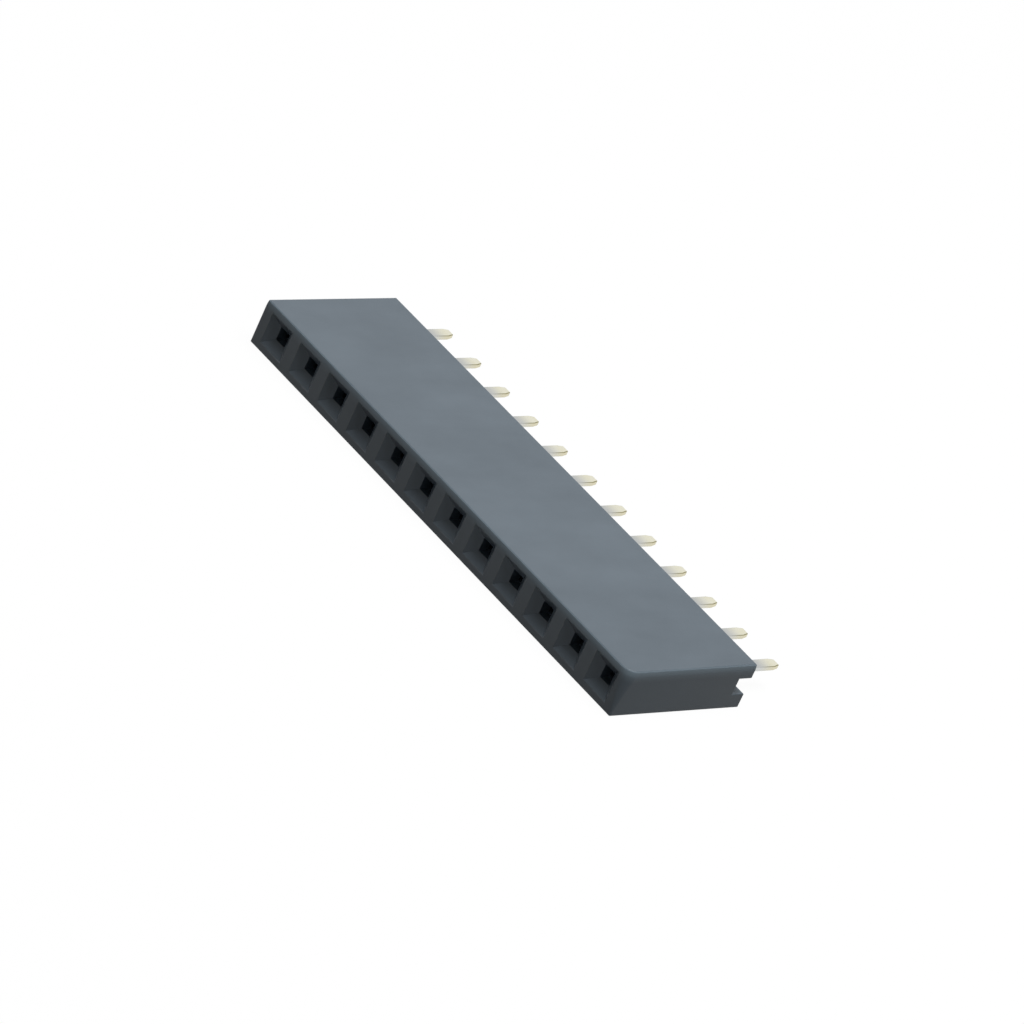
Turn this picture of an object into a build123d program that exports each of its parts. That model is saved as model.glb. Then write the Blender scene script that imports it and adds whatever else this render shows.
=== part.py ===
from build123d import *
import math
import os

# Single-row socket header: a moulded insulator with a row of square entries on its mating face,
# and one stamped, folded contact in each pocket, whose flat tail is soldered into a board.
# It lies on one long side. X runs along the row, Y from the mating face to the tail tips,
# and Z up from the side that it lies on. The origin is at the middle of the underside of the
# whole box, tails included. Every depth below is measured from the mating face, along Y.

# Row
ways = 12
pitch = 2.54
end_margin = 0.25

# Insulator
body_height = 8.5
body_width = 2.5
corner_radius = 0.15
top_edge_radius = 0.12
lower_edge_radius = 0.06

# Square entries: a funnel, then a throat a little wider than the post that goes in
post_size = 0.64
throat_clearance = 0.05
throat_length = 0.6
funnel_mouth = 1.8
funnel_depth = 0.45

# Pockets behind the throats, and the open channel along the board face
pocket_width = 1.7
channel_width = 0.92
channel_depth = 0.8
stop_step = 0.15

# Contact strip and its fold
strip = 0.25
bend_radius = 0.08
side_clearance = 0.02
roof_clearance = 0.05

# Base of the contact, a folded trough with barbs on its two walls
base_length = 2.0
base_setback = 0.45
barb_count = 2
barb_length = 0.4

# Spring beams: how far behind the throat they start, how far their tips stand clear of its
# walls, and how much further apart a post pushes them at the pinch
tip_clearance = 0.3
tip_lead = 0.05
flare_length = 0.85
post_grip = 0.24
pinch_radius = 0.6
root_radius = 1.2
beam_tip_width = 0.5

# Tail
tail_length = 3.15
tail_width = 0.64
tail_neck = 0.25
jog_run = 0.5
tip_taper_length = 0.35
tip_taper = 0.1

# Depths from the mating face
overall_length = body_height + tail_length
throat_end = funnel_depth + throat_length
tip_depth = throat_end + tip_clearance
pinch_depth = tip_depth + flare_length
channel_floor = body_height - channel_depth
base_rear = channel_floor - base_setback
base_front = base_rear - base_length

# Heights above the underside
middle = body_width / 2
pocket_floor = middle - channel_width / 2
pocket_roof = middle + channel_width / 2
front_floor = pocket_floor + stop_step
floor_middle = pocket_floor + strip / 2
wall_top = pocket_roof - roof_clearance
beam_low = pocket_floor + strip + bend_radius

# Distances from the middle of one position, along the row
body_length = ways * pitch + 2 * end_margin
throat_size = post_size + 2 * throat_clearance
wall_middle = pocket_width / 2 - side_clearance - strip / 2
pinch_middle = (post_size - post_grip + strip) / 2
tip_middle = (throat_size + strip) / 2 + tip_lead
fold_radius = bend_radius + strip / 2
floor_half = wall_middle - fold_radius
tail_half = tail_width / 2


def at(depth):
    """Y of a depth from the mating face."""
    return depth - overall_length / 2


def across_row(depth):
    """Plane parallel to the mating face at a depth, with X along the row and Y up."""
    return Plane.XZ.offset(-at(depth))


# Moulded insulator
with BuildPart() as housing:
    with BuildSketch(Plane.XY):
        with Locations((0, at(body_height / 2))):
            Rectangle(body_length, body_height)
    extrude(amount=body_width)
    fillet(housing.edges().filter_by(Axis.Z).group_by(Axis.Y)[0], corner_radius)
    top_edges = housing.faces().sort_by(Axis.Z)[-1].edges().sort_by(Axis.Y)
    fillet(top_edges[:-1], top_edge_radius)
    board_edges = housing.faces().sort_by(Axis.Y)[-1].edges()
    under_edges = housing.faces().sort_by(Axis.Z)[0].edges()
    fillet(board_edges + under_edges.sort_by(Axis.Y)[:-1], lower_edge_radius)
    with BuildSketch(across_row(0)):
        with Locations((0, middle)):
            with GridLocations(pitch, pitch, ways, 1):
                Rectangle(funnel_mouth, funnel_mouth)
    funnel_angle = math.degrees(math.atan2((funnel_mouth - throat_size) / 2, funnel_depth))
    extrude(amount=-funnel_depth, taper=funnel_angle, mode=Mode.SUBTRACT)
    for width, low, high, start, end in (
        (throat_size, middle - throat_size / 2, middle + throat_size / 2, funnel_depth, throat_end),
        (pocket_width, front_floor, pocket_roof, throat_end, base_front),
        (pocket_width, pocket_floor, pocket_roof, base_front, channel_floor),
    ):
        with BuildSketch(across_row(start)):
            with Locations((0, (low + high) / 2)):
                with GridLocations(pitch, pitch, ways, 1):
                    Rectangle(width, high - low)
        extrude(amount=start - end, mode=Mode.SUBTRACT)
    with BuildSketch(across_row(channel_floor)):
        with Locations((0, middle)):
            Rectangle(body_length + pitch, channel_width)
    extrude(amount=-channel_depth, mode=Mode.SUBTRACT)

# Trough of the contact: floor and two walls folded up from one strip
with BuildPart() as trough:
    with BuildSketch(across_row(base_front)):
        with BuildLine():
            FilletPolyline(
                (-wall_middle, wall_top),
                (-wall_middle, floor_middle),
                (wall_middle, floor_middle),
                (wall_middle, wall_top),
                radius=fold_radius,
            )
        trace(line_width=strip)
    extrude(amount=-base_length)

# Spring beams: the walls run on, lean in to the pinch and flare at the tip
with BuildPart() as beams:
    with BuildSketch(Plane.XY.offset(beam_low)):
        with BuildLine():
            FilletPolyline(
                (wall_middle, at(base_rear)),
                (wall_middle, at(base_front)),
                (pinch_middle, at(pinch_depth)),
                (tip_middle, at(tip_depth)),
                radius=(root_radius, pinch_radius),
            )
        trace(line_width=strip)
    extrude(amount=pocket_roof - beam_low)
    barb_pitch = base_length / barb_count
    outline = [
        (at(throat_end), beam_low),
        (at(throat_end), beam_low + beam_tip_width),
        (at(pinch_depth), beam_low + beam_tip_width),
        (at(base_front), wall_top),
    ]
    for barb in range(barb_count):
        barb_start = at(base_front + (barb + 0.5) * barb_pitch) - barb_length / 2
        outline += [
            (barb_start, wall_top),
            (barb_start + barb_length, pocket_roof),
            (barb_start + barb_length, wall_top),
        ]
    outline += [(at(base_rear), wall_top), (at(base_rear), beam_low)]
    with BuildSketch(Plane.YZ):
        with BuildLine():
            Polyline(*outline, close=True)
        make_face()
    extrude(amount=pocket_width, both=True, mode=Mode.INTERSECT)
    mirror(about=Plane.YZ)

# Tail: leaves the floor of the trough, steps up to mid height and tapers at the tip
with BuildPart() as tail:
    with BuildSketch(Plane.YZ):
        with BuildLine():
            FilletPolyline(
                (at(base_front), floor_middle),
                (at(base_rear), floor_middle),
                (at(base_rear + jog_run), middle),
                (at(overall_length), middle),
                radius=fold_radius,
            )
        trace(line_width=strip)
    extrude(amount=pocket_width, both=True)
    with BuildSketch(Plane.XY):
        with BuildLine():
            Polyline(
                (floor_half, at(base_front)),
                (floor_half, at(base_rear)),
                (tail_half, at(base_rear + tail_neck)),
                (tail_half, at(overall_length - tip_taper_length)),
                (tail_half - tip_taper, at(overall_length)),
                (tip_taper - tail_half, at(overall_length)),
                (-tail_half, at(overall_length - tip_taper_length)),
                (-tail_half, at(base_rear + tail_neck)),
                (-floor_half, at(base_rear)),
                (-floor_half, at(base_front)),
                close=True,
            )
        make_face()
    extrude(amount=body_width, mode=Mode.INTERSECT)

with BuildPart() as contact:
    add(trough.part)
    add(beams.part)
    add(tail.part)

# One file for each piece
os.makedirs("parts", exist_ok=True)
housing.part.label = "housing"
export_step(housing.part, "parts/housing.step")
for position in range(ways):
    placed = contact.part.moved(Location(((position - (ways - 1) / 2) * pitch, 0, 0)))
    placed.label = f"contact_{position + 1:02d}"
    export_step(placed, f"parts/{placed.label}.step")
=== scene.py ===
"""Dresses the socket header: rounded edges, finishes, a plain studio and the photograph's camera."""

import logging
import math
from collections.abc import Iterable
from dataclasses import dataclass
from enum import Enum
from typing import Any

import bmesh
import bpy
from mathutils import Matrix, Quaternion, Vector


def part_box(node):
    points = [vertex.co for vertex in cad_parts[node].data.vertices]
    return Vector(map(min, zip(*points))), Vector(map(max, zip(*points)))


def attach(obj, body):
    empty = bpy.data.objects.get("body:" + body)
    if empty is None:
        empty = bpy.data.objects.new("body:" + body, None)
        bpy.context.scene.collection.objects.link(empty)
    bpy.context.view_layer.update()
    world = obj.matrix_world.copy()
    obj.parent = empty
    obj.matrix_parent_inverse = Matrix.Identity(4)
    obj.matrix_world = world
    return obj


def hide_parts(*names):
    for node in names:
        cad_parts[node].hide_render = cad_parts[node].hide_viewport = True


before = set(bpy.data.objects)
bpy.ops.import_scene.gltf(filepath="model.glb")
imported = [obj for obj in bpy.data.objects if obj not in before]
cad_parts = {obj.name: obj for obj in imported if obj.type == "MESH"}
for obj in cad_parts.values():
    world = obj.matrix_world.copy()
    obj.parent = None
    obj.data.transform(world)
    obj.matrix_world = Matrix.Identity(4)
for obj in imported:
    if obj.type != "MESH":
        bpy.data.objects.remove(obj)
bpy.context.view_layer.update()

LOG = logging.getLogger("socket_header")
MM = 0.001
# Points less than this far apart, in metres, lie at the same place
NEAR = 0.001 * MM
# The cosine above which two directions are the same
PARALLEL = 0.999
# A Mix node has a set of sockets for each kind of value, so those for colours go by place
MIX_SHARE, MIX_FIRST, MIX_SECOND, MIX_RESULT = 0, 6, 7, 2


class Ray(Enum):
    """The kinds of ray that see the studio's surfaces by their own lightness."""

    CAMERA = "Is Camera Ray"
    GLOSSY = "Is Glossy Ray"
    TRANSMISSION = "Is Transmission Ray"


class Facing(Enum):
    """Sides of the header, by the way that each faces outwards."""

    MATING = (0, -1, 0)
    BOARD = (0, 1, 0)
    UP = (0, 0, 1)
    NEAR_END = (1, 0, 0)


def linear(hex_colour: str) -> tuple[float, float, float, float]:
    """Turns an sRGB hex colour into the linear one that a socket takes.

    Args:
        hex_colour: Six hex digits after a hash, such as "#6E7780".

    Returns:
        Linear red, green and blue, and an alpha of 1.
    """
    values = [int(hex_colour[place : place + 2], 16) / 255 for place in (1, 3, 5)]
    red, green, blue = (v / 12.92 if v <= 0.04045 else ((v + 0.055) / 1.055) ** 2.4 for v in values)
    return red, green, blue, 1.0


def add_node(
    tree: bpy.types.NodeTree,
    kind: str,
    settings: dict[str, Any] | None = None,
    inputs: dict[Any, Any] | None = None,
) -> bpy.types.Node:
    """Adds one node with its settings, and fills or links its inputs.

    Args:
        tree: The node tree that the node joins.
        kind: The node's type name, such as "ShaderNodeTexNoise".
        settings: Values of the node's own properties.
        inputs: Each input's name or place, and its value or the output that it is linked to.

    Returns:
        The new node.
    """
    node = tree.nodes.new(kind)
    for name, value in (settings or {}).items():
        setattr(node, name, value)
    for name, value in (inputs or {}).items():
        if isinstance(value, bpy.types.NodeSocket):
            tree.links.new(value, node.inputs[name])
        else:
            node.inputs[name].default_value = value
    return node


def new_material(name: str) -> tuple[bpy.types.Material, bpy.types.NodeTree, bpy.types.Node]:
    """Makes an empty node material.

    Args:
        name: The material's name.

    Returns:
        The material, its node tree and its output node.
    """
    material = bpy.data.materials.new(name)
    material.use_nodes = True
    material.node_tree.nodes.clear()
    output = add_node(material.node_tree, "ShaderNodeOutputMaterial")
    return material, material.node_tree, output


def noise(
    tree: bpy.types.NodeTree,
    grain_mm: Iterable[float],
    detail: float,
) -> bpy.types.NodeSocket:
    """Adds a noise whose grain has a real size along each axis.

    Args:
        tree: The node tree that the noise joins.
        grain_mm: The grain's size along X, Y and Z.
        detail: How many finer octaves the noise has.

    Returns:
        The noise's value, from 0 to 1.
    """
    place = add_node(tree, "ShaderNodeTexCoord")
    scale = tuple(1 / (grain * MM) for grain in grain_mm)
    mapping = add_node(
        tree, "ShaderNodeMapping", {}, {"Vector": place.outputs["Object"], "Scale": scale}
    )
    texture = add_node(
        tree,
        "ShaderNodeTexNoise",
        {},
        {"Vector": mapping.outputs["Vector"], "Scale": 1.0, "Detail": detail},
    )
    return texture.outputs["Fac"]


def ramp_along(
    tree: bpy.types.NodeTree,
    vector: bpy.types.NodeSocket,
    axis: str,
    low: float,
    high: float,
) -> bpy.types.NodeSocket:
    """Adds a smooth ramp over one part of a vector.

    Args:
        tree: The node tree that the ramp joins.
        vector: The vector, such as a place or a normal.
        axis: The part that counts, "X", "Y" or "Z".
        low: The part's value where the ramp is 0.
        high: The part's value where the ramp is 1.

    Returns:
        The ramp's value, from 0 to 1.
    """
    parts = add_node(tree, "ShaderNodeSeparateXYZ", {}, {"Vector": vector})
    ramp = add_node(
        tree,
        "ShaderNodeMapRange",
        {"interpolation_type": "SMOOTHSTEP"},
        {"Value": parts.outputs[axis], "From Min": low, "From Max": high},
    )
    return ramp.outputs["Result"]


def surface(
    tree: bpy.types.NodeTree,
    output: bpy.types.Node,
    relief: bpy.types.NodeSocket,
    relief_mm: float,
    inputs: dict[str, Any],
) -> None:
    """Adds the shader of a finish, with its relief, and links it to the material's output.

    Args:
        tree: The finish's node tree.
        output: The material's output node.
        relief: The relief's height, from 0 to 1.
        relief_mm: How deep the relief is.
        inputs: The shader's colour and numbers, by the name of each input.
    """
    bump = add_node(
        tree,
        "ShaderNodeBump",
        {},
        {"Height": relief, "Strength": 1.0, "Distance": relief_mm * MM},
    )
    shader = add_node(
        tree, "ShaderNodeBsdfPrincipled", {}, {**inputs, "Normal": bump.outputs["Normal"]}
    )
    tree.links.new(shader.outputs["BSDF"], output.inputs["Surface"])


@dataclass(frozen=True)
class MouldedPolyester:
    """Glass-filled PBT, moulded against a spark-eroded steel face.

    The eroded steel leaves an even, fine grain, which spreads the highlight into a dull sheen.
    The glass fibre follows the melt, so the slate grey has a faint cloudy flow. Towards the upper
    edges of the sides the grey is painted paler: a painted sheen of the light from the lit top.
    """

    name: str = "moulded_glass_filled_pbt"
    colour: str = "#5E6A74"
    flow_colour: str = "#76838E"
    painted_sheen_colour: str = "#93A5B1"
    # How high above the floor the painted sheen on the sides starts, and where it is palest
    sheen_low_mm: float = 1.8
    sheen_high_mm: float = 2.5
    # How far up a face points, as its normal's Z, where the painted sheen starts, and where it is
    # full
    sheen_flat: float = 0.96
    sheen_steep: float = 0.45
    roughness: float = 0.28
    ior: float = 1.5
    specular: float = 0.27
    # The eroded grain is about 0.03 mm; it is drawn at 0.09 mm, so that it shows
    grain_mm: float = 0.09
    grain_depth_mm: float = 0.003
    grain_detail: float = 2.0
    flow_mm: float = 5.0
    flow_detail: float = 3.0

    def material(self) -> bpy.types.Material:
        """Builds the node material.

        Returns:
            The material.
        """
        material, tree, output = new_material(self.name)
        flow = noise(tree, (self.flow_mm / 2, self.flow_mm, self.flow_mm), self.flow_detail)
        clouded = add_node(
            tree,
            "ShaderNodeMix",
            {"data_type": "RGBA"},
            {
                MIX_SHARE: flow,
                MIX_FIRST: linear(self.colour),
                MIX_SECOND: linear(self.flow_colour),
            },
        )
        place = add_node(tree, "ShaderNodeTexCoord")
        geometry = add_node(tree, "ShaderNodeNewGeometry")
        # The paler grey towards the upper edges of the sides is a painted sheen: light from the lit
        # top, painted into the colour
        edge = ramp_along(
            tree, place.outputs["Object"], "Z", self.sheen_low_mm * MM, self.sheen_high_mm * MM
        )
        sideways = ramp_along(
            tree, geometry.outputs["Normal"], "Z", self.sheen_flat, self.sheen_steep
        )
        sheen_share = add_node(tree, "ShaderNodeMath", {"operation": "MULTIPLY"}, {0: edge, 1: sideways})
        with_painted_sheen = add_node(
            tree,
            "ShaderNodeMix",
            {"data_type": "RGBA"},
            {
                MIX_SHARE: sheen_share.outputs["Value"],
                MIX_FIRST: clouded.outputs[MIX_RESULT],
                MIX_SECOND: linear(self.painted_sheen_colour),
            },
        )
        surface(
            tree,
            output,
            noise(tree, (self.grain_mm,) * 3, self.grain_detail),
            self.grain_depth_mm,
            {
                "Base Color": with_painted_sheen.outputs[MIX_RESULT],
                "Roughness": self.roughness,
                "IOR": self.ior,
                "Specular IOR Level": self.specular,
            },
        )
        return material


@dataclass(frozen=True)
class TinnedStrip:
    """Copper alloy strip, tin plated and then stamped.

    The rolled faces are a pale satin silver with faint rolling lines. The sheared edges cut
    through the plating, so the warm yellow of the alloy shows on them, and a dull line lies
    where they meet the rolled faces. Near the body the strip is painted grey, a painted shade
    where the body darkens it, and it is brightest at the tip of the tail.
    """

    name: str = "stamped_tin_plated_strip"
    plating: str = "#FDFCF2"
    tarnish: str = "#F3EECC"
    body_shade_colour: str = "#CBCDCC"
    alloy: str = "#D8D2B6"
    edge_line: str = "#A09974"
    roughness: float = 0.22
    # Where along the row's Y the painted shade near the body gives way to the bright tail
    body_shade_mm: float = 4.3
    bright_mm: float = 5.5
    # Rolling lines are about 0.01 mm apart; they are drawn at 0.06 mm, so that they show
    line_mm: float = 0.06
    line_length_mm: float = 1.2
    line_depth_mm: float = 0.002
    line_detail: float = 2.0
    cloud_mm: float = 0.7
    cloud_detail: float = 2.0
    # How far sideways a face points, as its normal's X, where the alloy starts, and where it is full
    sheared_from: float = 0.1
    sheared_full: float = 0.9
    # The same where the dull line starts, is full, starts to end and has ended
    edge_line_from: float = 0.05
    edge_line_full: float = 0.3
    edge_line_ends: float = 0.85
    edge_line_gone: float = 0.98

    def material(self) -> bpy.types.Material:
        """Builds the node material.

        Returns:
            The material.
        """
        material, tree, output = new_material(self.name)
        plated = add_node(
            tree,
            "ShaderNodeMix",
            {"data_type": "RGBA"},
            {
                MIX_SHARE: noise(tree, (self.cloud_mm,) * 3, self.cloud_detail),
                MIX_FIRST: linear(self.plating),
                MIX_SECOND: linear(self.tarnish),
            },
        )
        geometry = add_node(tree, "ShaderNodeNewGeometry")
        absolute = add_node(
            tree,
            "ShaderNodeVectorMath",
            {"operation": "ABSOLUTE"},
            {"Vector": geometry.outputs["Normal"]},
        )
        either_side = absolute.outputs["Vector"]
        sheared = add_node(
            tree,
            "ShaderNodeMix",
            {"data_type": "RGBA"},
            {
                MIX_SHARE: ramp_along(
                    tree, either_side, "X", self.sheared_from, self.sheared_full
                ),
                MIX_FIRST: plated.outputs[MIX_RESULT],
                MIX_SECOND: linear(self.alloy),
            },
        )
        # Darker along the rounded edges where the sheared faces meet the rolled faces
        turning_in = ramp_along(tree, either_side, "X", self.edge_line_from, self.edge_line_full)
        turning_out = ramp_along(tree, either_side, "X", self.edge_line_gone, self.edge_line_ends)
        at_edge_line = add_node(
            tree, "ShaderNodeMath", {"operation": "MULTIPLY"}, {0: turning_in, 1: turning_out}
        )
        outlined = add_node(
            tree,
            "ShaderNodeMix",
            {"data_type": "RGBA"},
            {
                MIX_SHARE: at_edge_line.outputs["Value"],
                MIX_FIRST: sheared.outputs[MIX_RESULT],
                MIX_SECOND: linear(self.edge_line),
            },
        )
        # The grey near the body is painted shade, where the body darkens the tails
        place = add_node(tree, "ShaderNodeTexCoord")
        low, high = self.body_shade_mm * MM, self.bright_mm * MM
        shaded_near_body = add_node(
            tree,
            "ShaderNodeMix",
            {"data_type": "RGBA"},
            {
                MIX_SHARE: ramp_along(tree, place.outputs["Object"], "Y", low, high),
                MIX_FIRST: linear(self.body_shade_colour),
                MIX_SECOND: outlined.outputs[MIX_RESULT],
            },
        )
        lines_mm = (self.line_mm, self.line_length_mm, self.line_mm)
        surface(
            tree,
            output,
            noise(tree, lines_mm, self.line_detail),
            self.line_depth_mm,
            {
                "Base Color": shaded_near_body.outputs[MIX_RESULT],
                "Metallic": 1.0,
                "Roughness": self.roughness,
            },
        )
        return material


@dataclass
class SoftEdges:
    """Rounds a piece's edges, each by a share of one largest radius."""

    largest_mm: float
    segments: int

    def weight_layer(self, shape: bmesh.types.BMesh) -> Any:
        """Adds the layer that holds each edge's share of the largest radius."""
        return shape.edges.layers.float.new("bevel_weight_edge")

    def finish(self, piece: bpy.types.Object) -> None:
        """Puts the rounding on a piece.

        Args:
            piece: The piece, whose edges already carry their shares.
        """
        for polygon in piece.data.polygons:
            polygon.use_smooth = True
        bevel = piece.modifiers.new("soft_edges", "BEVEL")
        bevel.limit_method = "WEIGHT"
        bevel.width = self.largest_mm * MM
        bevel.segments = self.segments
        bevel.harden_normals = True
        bevel.use_clamp_overlap = False


def piece_from(shape: bmesh.types.BMesh, name: str) -> bpy.types.Object:
    """Turns a bmesh into a linked object at the origin and frees it.

    Args:
        shape: The mesh under construction.
        name: The piece's name.

    Returns:
        The new object.
    """
    mesh = bpy.data.meshes.new(name)
    shape.to_mesh(mesh)
    shape.free()
    piece = bpy.data.objects.new(name, mesh)
    bpy.context.scene.collection.objects.link(piece)
    return piece


def faces_towards(
    shape: bmesh.types.BMesh, facing: Facing, depth: float
) -> list[bmesh.types.BMFace]:
    """Finds the faces that face one way at one depth along Y.

    Args:
        shape: The mesh to look through.
        facing: The way that the faces point.
        depth: Their place along Y, in metres.

    Returns:
        The faces.
    """
    way = Vector(facing.value)
    found = [face for face in shape.faces if face.normal.dot(way) > PARALLEL]
    return [face for face in found if abs(face.calc_center_median().y - depth) < NEAR]


def contact_nodes() -> list[str]:
    """Gives the names of the contacts in the frame, in the order of their positions."""
    return sorted(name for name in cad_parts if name.startswith("contact_"))


@dataclass
class Insulator:
    """The moulded body, with a funnel, a throat and a pocket at each position.

    Sizes are in millimetres. Where the body and its positions lie comes from the frame.
    """

    funnel_mouth: float = 1.8
    funnel_depth: float = 0.45
    throat_size: float = 0.74
    throat_length: float = 0.6
    pocket_width: float = 1.7
    stop_step: float = 0.15
    channel_width: float = 0.92
    channel_depth: float = 0.8
    base_length: float = 2.0
    base_setback: float = 0.45
    # The upright corner between mating face and near end, at its top
    worn_corner: float = 0.7
    corner_segments: int = 6
    upper_radius: float = 0.07
    lower_radius: float = 0.06
    crisp_radius: float = 0.02
    mouth_radius: float = 0.03
    channel_radius: float = 0.04
    crease_deg: float = 20.0
    segments: int = 4
    # Above the mouths the sides lean in: how far below the top, and how far in, at each bend
    lean: tuple[tuple[float, float], ...] = ((0.26, 0.006), (0.14, 0.02), (0.0, 0.05))
    finish: MouldedPolyester = MouldedPolyester()

    def __post_init__(self) -> None:
        """Reads the body's box and the positions of its contacts from the frame."""
        self.low, self.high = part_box("housing")
        boxes = [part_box(name) for name in contact_nodes()]
        self.positions = [(low.x + high.x) / 2 for low, high in boxes]
        self.middle = (self.low.z + self.high.z) / 2
        self.mouth_low = self.middle - self.funnel_mouth / 2 * MM
        self.mouth_high = self.middle + self.funnel_mouth / 2 * MM
        self.channel_low = self.middle - self.channel_width / 2 * MM
        self.channel_high = self.middle + self.channel_width / 2 * MM
        self.channel_floor = self.high.y - self.channel_depth * MM
        self.base_front = self.channel_floor - (self.base_setback + self.base_length) * MM

    def body(self) -> bmesh.types.BMesh:
        """Extrudes the end's outline, with its channel, along the whole row.

        Returns:
            The body without its entries.
        """
        low, high = self.low, self.high
        outline = (
            (low.y, low.z),
            (high.y, low.z),
            (high.y, self.channel_low),
            (self.channel_floor, self.channel_low),
            (self.channel_floor, self.channel_high),
            (high.y, self.channel_high),
            (high.y, high.z),
            (low.y, high.z),
        )
        shape = bmesh.new()
        end = shape.faces.new([shape.verts.new((low.x, y, z)) for y, z in outline])
        grown = bmesh.ops.extrude_face_region(shape, geom=[end])["geom"]
        moved = [part for part in grown if isinstance(part, bmesh.types.BMVert)]
        bmesh.ops.translate(shape, verts=moved, vec=(high.x - low.x, 0, 0))
        bmesh.ops.recalc_face_normals(shape, faces=shape.faces)
        self.round_near_corner(shape)
        self.lean_in(shape)
        return shape

    def round_near_corner(self, shape: bmesh.types.BMesh) -> None:
        """Rounds the upright edge between the mating face and the near end, most at the top.

        Args:
            shape: The body's plain block.
        """
        corner = Vector((self.high.x, self.low.y, 0))
        upright = [
            edge
            for edge in shape.edges
            if all((vert.co.xy - corner.xy).length < NEAR for vert in edge.verts)
        ]
        bmesh.ops.bevel(
            shape,
            geom=upright,
            offset=self.worn_corner * MM,
            offset_type="OFFSET",
            affect="EDGES",
            segments=self.corner_segments,
            profile=0.5,
            material=-1,
        )
        reach = self.worn_corner * MM + NEAR
        foot = [
            vert
            for vert in shape.verts
            if vert.co.z < self.low.z + NEAR
            and corner.x - vert.co.x < reach
            and vert.co.y - corner.y < reach
        ]
        share = self.lower_radius / self.worn_corner
        bmesh.ops.scale(
            shape, verts=foot, vec=(share, share, 1), space=Matrix.Translation(-corner)
        )

    def lean_in(self, shape: bmesh.types.BMesh) -> None:
        """Bends the upper part of the mating face and of the near end inwards.

        Args:
            shape: The body's block, with its near corner rounded.
        """
        still = Vector((self.low.x, self.high.y, 0))
        length, height = self.high.x - self.low.x, self.high.y - self.low.y
        bends = [(self.mouth_high, 0.0)]
        bends += [(self.high.z - below * MM, inset) for below, inset in self.lean]
        for level, inset in bends:
            if self.high.z - level > NEAR:
                bmesh.ops.bisect_plane(
                    shape,
                    geom=[*shape.verts, *shape.edges, *shape.faces],
                    plane_co=(0, 0, level),
                    plane_no=Facing.UP.value,
                )
            ring = [vert for vert in shape.verts if abs(vert.co.z - level) < NEAR]
            scale = (1 - inset * MM / length, 1 - inset * MM / height, 1)
            bmesh.ops.scale(shape, verts=ring, vec=scale, space=Matrix.Translation(-still))

    def cut_across(
        self,
        shape: bmesh.types.BMesh,
        facing: Facing,
        depth: float,
        planes: Iterable[tuple[Vector, Vector]],
    ) -> None:
        """Cuts lines into the faces that face one way at one depth.

        Args:
            shape: The mesh to cut.
            facing: The way that the faces point.
            depth: Their place along Y, in metres.
            planes: A point on each cutting plane, and the plane's normal.
        """
        for point, normal in planes:
            faces = faces_towards(shape, facing, depth)
            edges = {edge for face in faces for edge in face.edges}
            verts = {vert for face in faces for vert in face.verts}
            bmesh.ops.bisect_plane(
                shape, geom=[*verts, *edges, *faces], plane_co=point, plane_no=normal
            )

    def windows(
        self, shape: bmesh.types.BMesh, facing: Facing, depth: float, width: float, height: float
    ) -> list[bmesh.types.BMFace]:
        """Finds the cut faces whose middle lies well inside a width and a height at a position.

        Args:
            shape: The cut mesh.
            facing: The way that the faces point.
            depth: Their place along Y, in metres.
            width: How wide a window is, in millimetres.
            height: How high it is, in millimetres.

        Returns:
            One face for each position.
        """
        found = []
        for face in faces_towards(shape, facing, depth):
            centre = face.calc_center_median()
            sideways = min(abs(centre.x - x) for x in self.positions)
            if sideways < width / 4 * MM and abs(centre.z - self.middle) < height / 4 * MM:
                found.append(face)
        return found

    def side_planes(self, width: float) -> list[tuple[Vector, Vector]]:
        """Gives the planes at both sides of every position, a width apart in millimetres."""
        across = Vector(Facing.NEAR_END.value)
        half = width / 2 * MM
        return [(across * (x + side), across) for x in self.positions for side in (-half, half)]

    def step_in(
        self,
        shape: bmesh.types.BMesh,
        caps: list[bmesh.types.BMFace],
        depth: float,
        width: float,
        low: float,
        high: float,
    ) -> list[bmesh.types.BMFace]:
        """Carries every entry on to a depth, where it takes the size of a rectangle.

        Args:
            shape: The mesh that holds the entries.
            caps: The closed inner end of each entry.
            depth: Where the new ends lie along Y, in metres.
            width: The rectangle's width, in millimetres.
            low: The height of its lower side, in metres.
            high: The height of its upper side, in metres.

        Returns:
            The new closed ends.
        """
        ends = bmesh.ops.extrude_discrete_faces(shape, faces=caps)["faces"]
        for end in ends:
            centre = end.calc_center_median()
            for corner in end.verts:
                corner.co.x = centre.x + math.copysign(width / 2 * MM, corner.co.x - centre.x)
                corner.co.z = high if corner.co.z > centre.z else low
                corner.co.y = depth
        return ends

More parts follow.
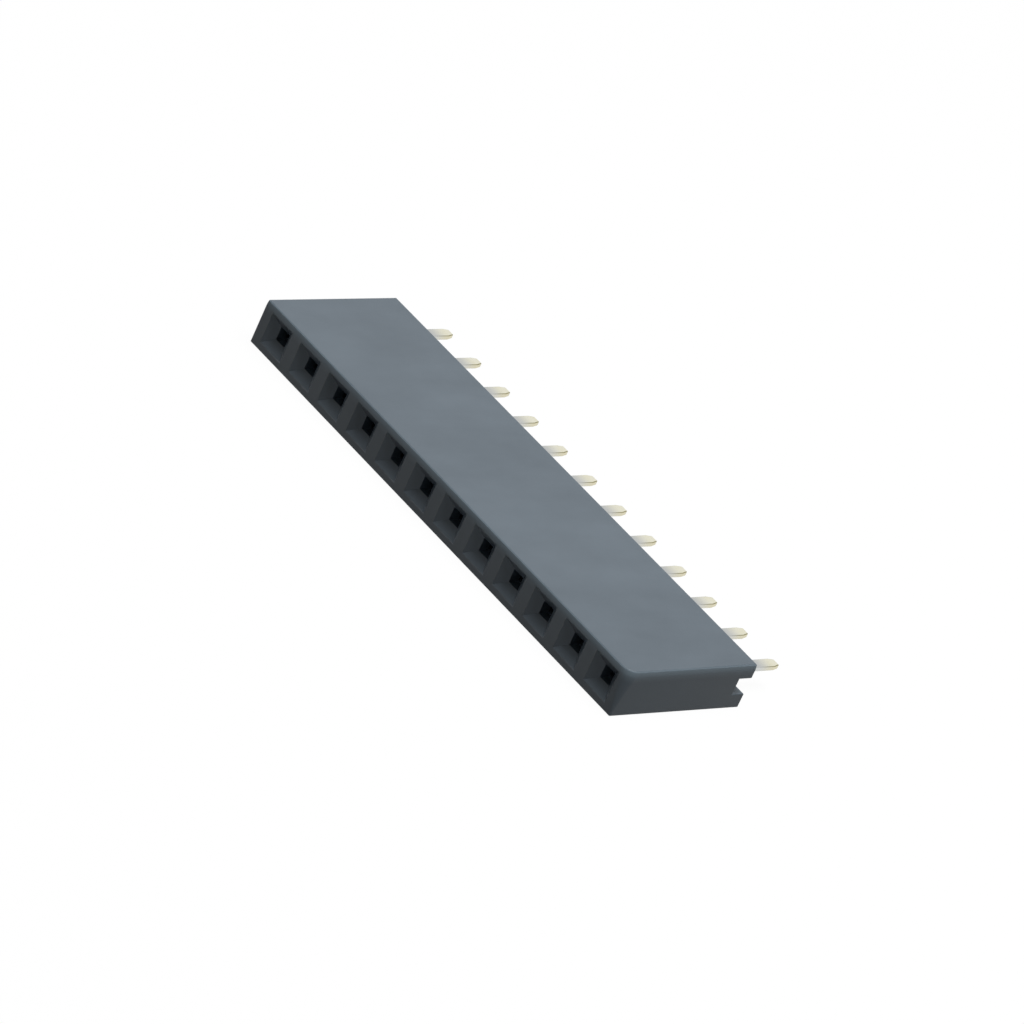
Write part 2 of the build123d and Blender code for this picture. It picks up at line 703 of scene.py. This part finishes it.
    def cut_entries(self, shape: bmesh.types.BMesh) -> None:
        """Sinks the funnels, throats and pockets, and opens them into the channel.

        Args:
            shape: The body without its entries.
        """
        face = self.low.y
        up = Vector(Facing.UP.value)
        planes = self.side_planes(self.funnel_mouth)
        planes += [(up * self.mouth_low, up), (up * self.mouth_high, up)]
        self.cut_across(shape, Facing.MATING, face, planes)
        size = self.funnel_mouth
        caps = self.windows(shape, Facing.MATING, face, size, size)
        half_throat = self.throat_size / 2 * MM
        throat = (self.throat_size, self.middle - half_throat, self.middle + half_throat)
        front = (self.pocket_width, self.channel_low + self.stop_step * MM, self.channel_high)
        rear = (self.pocket_width, self.channel_low, self.channel_high)
        throat_start = face + self.funnel_depth * MM
        throat_end = throat_start + self.throat_length * MM
        for depth, (width, low, high) in (
            (throat_start, throat),
            (throat_end, throat),
            (throat_end, front),
            (self.base_front, front),
            (self.base_front, rear),
            (self.channel_floor, rear),
        ):
            caps = self.step_in(shape, caps, depth, width, low, high)
        self.cut_across(
            shape, Facing.BOARD, self.channel_floor, self.side_planes(self.pocket_width)
        )
        outlets = self.windows(
            shape, Facing.BOARD, self.channel_floor, self.pocket_width, self.channel_width
        )
        bmesh.ops.delete(shape, geom=[*caps, *outlets], context="FACES_ONLY")
        bmesh.ops.remove_doubles(shape, verts=shape.verts, dist=NEAR)
        bmesh.ops.recalc_face_normals(shape, faces=shape.faces)

    def is_crease(self, edge: bmesh.types.BMEdge) -> bool:
        """Tells whether the faces beside an edge meet at an angle."""
        return edge.is_manifold and edge.calc_face_angle() > math.radians(self.crease_deg)

    def radius_at(self, edge: bmesh.types.BMEdge) -> float:
        """Tells how far an edge of the moulding is rounded.

        Args:
            edge: An edge between two faces.

        Returns:
            The radius in millimetres, or 0 where the edge stays as it is.
        """
        if not self.is_crease(edge):
            return 0.0
        middle = (edge.verts[0].co + edge.verts[1].co) / 2
        along_z = abs(edge.verts[0].co.z - edge.verts[1].co.z) > NEAR
        leaning = NEAR + max(inset for below, inset in self.lean) * MM
        at_end = min(abs(middle.x - self.low.x), abs(middle.x - self.high.x)) < leaning
        at_face = abs(middle.y - self.low.y) < leaning
        at_board = abs(middle.y - self.high.y) < NEAR
        at_floor = abs(middle.y - self.channel_floor) < NEAR
        at_top = abs(middle.z - self.high.z) < NEAR
        at_bottom = abs(middle.z - self.low.z) < NEAR
        if at_top and not at_board:
            return self.upper_radius
        if at_top or (at_end and along_z and at_face):
            return self.lower_radius
        if at_bottom or (at_end and along_z and at_board):
            return self.crisp_radius
        if at_board or (at_end and not at_floor):
            return self.channel_radius
        if at_face or at_floor:
            return self.mouth_radius
        return 0.0

    def build(self) -> bpy.types.Object:
        """Models the moulding and dresses it.

        Returns:
            The finished piece.
        """
        shape = self.body()
        self.cut_entries(shape)
        edges = SoftEdges(self.upper_radius, self.segments)
        share = edges.weight_layer(shape)
        for edge in shape.edges:
            edge[share] = self.radius_at(edge) / self.upper_radius
            edge.smooth = edge[share] > 0 or not self.is_crease(edge)
        piece = piece_from(shape, "insulator")
        edges.finish(piece)
        piece.data.materials.append(self.finish.material())
        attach(piece, "root")
        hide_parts("housing")
        return piece


@dataclass
class ContactRow:
    """The stamped contacts, one for each position, with softened edges."""

    edge_radius: float = 0.03
    tail_radius: float = 0.05
    segments: int = 3
    # Folds turn by less than this between two of their facets, and stamped edges by more
    sharp_deg: float = 50.0
    # Triangles that meet at less than this are one flat face
    flat_deg: float = 1.0
    merge_mm: float = 0.0001
    finish: TinnedStrip = TinnedStrip()

    def contact(self, node: str, material: bpy.types.Material) -> bpy.types.Object:
        """Takes one contact's solid, joins its triangles and rounds its sharp edges.

        Args:
            node: The contact's name in the frame.
            material: The strip's finish.

        Returns:
            The finished piece.
        """
        shape = bmesh.new()
        shape.from_mesh(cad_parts[node].data)
        bmesh.ops.remove_doubles(shape, verts=shape.verts, dist=self.merge_mm * MM)
        bmesh.ops.dissolve_limit(
            shape,
            angle_limit=math.radians(self.flat_deg),
            verts=shape.verts,
            edges=shape.edges,
        )
        board_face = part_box("housing")[1].y
        edges = SoftEdges(self.tail_radius, self.segments)
        share = edges.weight_layer(shape)
        for edge in shape.edges:
            sharp = edge.is_manifold and edge.calc_face_angle() > math.radians(self.sharp_deg)
            if sharp:
                outside = (edge.verts[0].co.y + edge.verts[1].co.y) / 2 > board_face
                edge[share] = 1.0 if outside else self.edge_radius / self.tail_radius
        piece = piece_from(shape, f"stamped_{node}")
        # The loaded normals belong to the sharp edges, and would bend the light on the flat faces
        loaded_normals = piece.data.attributes.get("custom_normal")
        if loaded_normals is not None:
            piece.data.attributes.remove(loaded_normals)
        edges.finish(piece)
        piece.data.materials.append(material)
        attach(piece, "root")
        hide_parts(node)
        return piece

    def build(self) -> list[bpy.types.Object]:
        """Makes every contact of the row.

        Returns:
            The finished pieces, in the order of their positions.
        """
        material = self.finish.material()
        return [self.contact(name, material) for name in contact_nodes()]


@dataclass
class Studio:
    """A plain pale floor and background, a large soft light above and a weak fill."""

    floor_half: float = 1.5
    floor_colour: str = "#404040"
    # How bright the floor is to the camera without any light, and the background to each ray
    floor_lift: float = 0.96
    background: float = 1.0
    fill: float = 0.03
    light_size: float = 0.26
    light_place: tuple[float, float, float] = (0.037, 0.035, 0.372)
    light_power: float = 1.26

    def seen_by(self, tree: bpy.types.NodeTree, kinds: Iterable[Ray]) -> bpy.types.NodeSocket:
        """Adds a value that is 1 for some kinds of ray and 0 for the others.

        Args:
            tree: The node tree that the value joins.
            kinds: The kinds of ray that give 1.

        Returns:
            The value.
        """
        path = add_node(tree, "ShaderNodeLightPath")
        total = None
        for kind in kinds:
            ray = path.outputs[kind.value]
            if total is None:
                total = ray
                continue
            either = add_node(
                tree, "ShaderNodeMath", {"operation": "MAXIMUM"}, {0: total, 1: ray}
            )
            total = either.outputs["Value"]
        return total

    def floor(self) -> bpy.types.Object:
        """Lays the floor, which stays pale to the camera and keeps the header's shadow.

        Returns:
            The floor.
        """
        shape = bmesh.new()
        bmesh.ops.create_grid(shape, x_segments=1, y_segments=1, size=self.floor_half)
        floor = piece_from(shape, "floor")
        material, tree, output = new_material("matt_pale_board")
        diffuse = add_node(tree, "ShaderNodeBsdfDiffuse", {}, {"Color": linear(self.floor_colour)})
        seen = self.seen_by(tree, Ray)
        strength = add_node(
            tree, "ShaderNodeMath", {"operation": "MULTIPLY"}, {0: seen, 1: self.floor_lift}
        )
        lift = add_node(
            tree, "ShaderNodeEmission", {}, {"Strength": strength.outputs["Value"]}
        )
        both = add_node(
            tree,
            "ShaderNodeAddShader",
            {},
            {0: diffuse.outputs["BSDF"], 1: lift.outputs["Emission"]},
        )
        tree.links.new(both.outputs["Shader"], output.inputs["Surface"])
        floor.data.materials.append(material)
        return floor

    def surroundings(self) -> bpy.types.World:
        """Makes the background white to the camera and a weak fill to the rest.

        Returns:
            The world.
        """
        world = bpy.data.worlds.new("pale_room")
        world.use_nodes = True
        tree = world.node_tree
        tree.nodes.clear()
        seen = self.seen_by(tree, Ray)
        strength = add_node(
            tree,
            "ShaderNodeMapRange",
            {},
            {"Value": seen, "To Min": self.fill, "To Max": self.background},
        )
        backdrop = add_node(
            tree, "ShaderNodeBackground", {}, {"Strength": strength.outputs["Result"]}
        )
        add_node(
            tree, "ShaderNodeOutputWorld", {}, {"Surface": backdrop.outputs["Background"]}
        )
        bpy.context.scene.world = world
        return world

    def soft_light(self) -> bpy.types.Object:
        """Hangs the soft light above and behind the header.

        Returns:
            The light.
        """
        lamp = bpy.data.lights.new("soft_light", "AREA")
        lamp.shape = "SQUARE"
        lamp.size = self.light_size
        lamp.energy = self.light_power
        light = bpy.data.objects.new("soft_light", lamp)
        light.location = self.light_place
        light.rotation_mode = "QUATERNION"
        light.rotation_quaternion = Vector(self.light_place).to_track_quat("Z", "Y")
        bpy.context.scene.collection.objects.link(light)
        return light

    def build(self) -> list[Any]:
        """Sets up the whole studio.

        Returns:
            The floor, the world and the light.
        """
        return [self.floor(), self.surroundings(), self.soft_light()]


@dataclass
class PhotoCamera:
    """The photograph's camera, found from the header's edges and entries in it."""

    azimuth_deg: float = 40.534
    elevation_deg: float = 26.455
    roll_deg: float = 25.016
    distance_mm: float = 344.95
    aim_mm: tuple[float, float, float] = (0.698, -1.136, 1.008)
    lens_mm: float = 249.4
    sensor_mm: float = 36.0
    # How many times nearer and further than the header the camera still sees
    clip_ratio: float = 100.0

    def build(self) -> bpy.types.Object:
        """Places the camera and makes it the scene's own.

        Returns:
            The camera.
        """
        around, above = math.radians(self.azimuth_deg), math.radians(self.elevation_deg)
        back = Vector(
            (
                math.sin(around) * math.cos(above),
                -math.cos(around) * math.cos(above),
                math.sin(above),
            )
        )
        data = bpy.data.cameras.new("photo_camera")
        data.lens = self.lens_mm
        data.sensor_width = self.sensor_mm
        data.clip_start = self.distance_mm / self.clip_ratio * MM
        data.clip_end = self.distance_mm * self.clip_ratio * MM
        camera = bpy.data.objects.new("photo_camera", data)
        camera.location = (Vector(self.aim_mm) + back * self.distance_mm) * MM
        camera.rotation_mode = "QUATERNION"
        level = back.to_track_quat("Z", "Y")
        camera.rotation_quaternion = level @ Quaternion((0, 0, 1), math.radians(self.roll_deg))
        bpy.context.scene.collection.objects.link(camera)
        bpy.context.scene.camera = camera
        return camera


def main() -> None:
    """Builds every piece, the studio and the camera."""
    logging.basicConfig(level=logging.INFO, format="%(name)s: %(message)s")
    bpy.context.scene.view_settings.view_transform = "Standard"
    pieces = [Insulator().build(), *ContactRow().build()]
    pieces += [*Studio().build(), PhotoCamera().build()]
    for piece in pieces:
        LOG.info("%s is in place", piece.name)


if __name__ == "__main__":
    main()
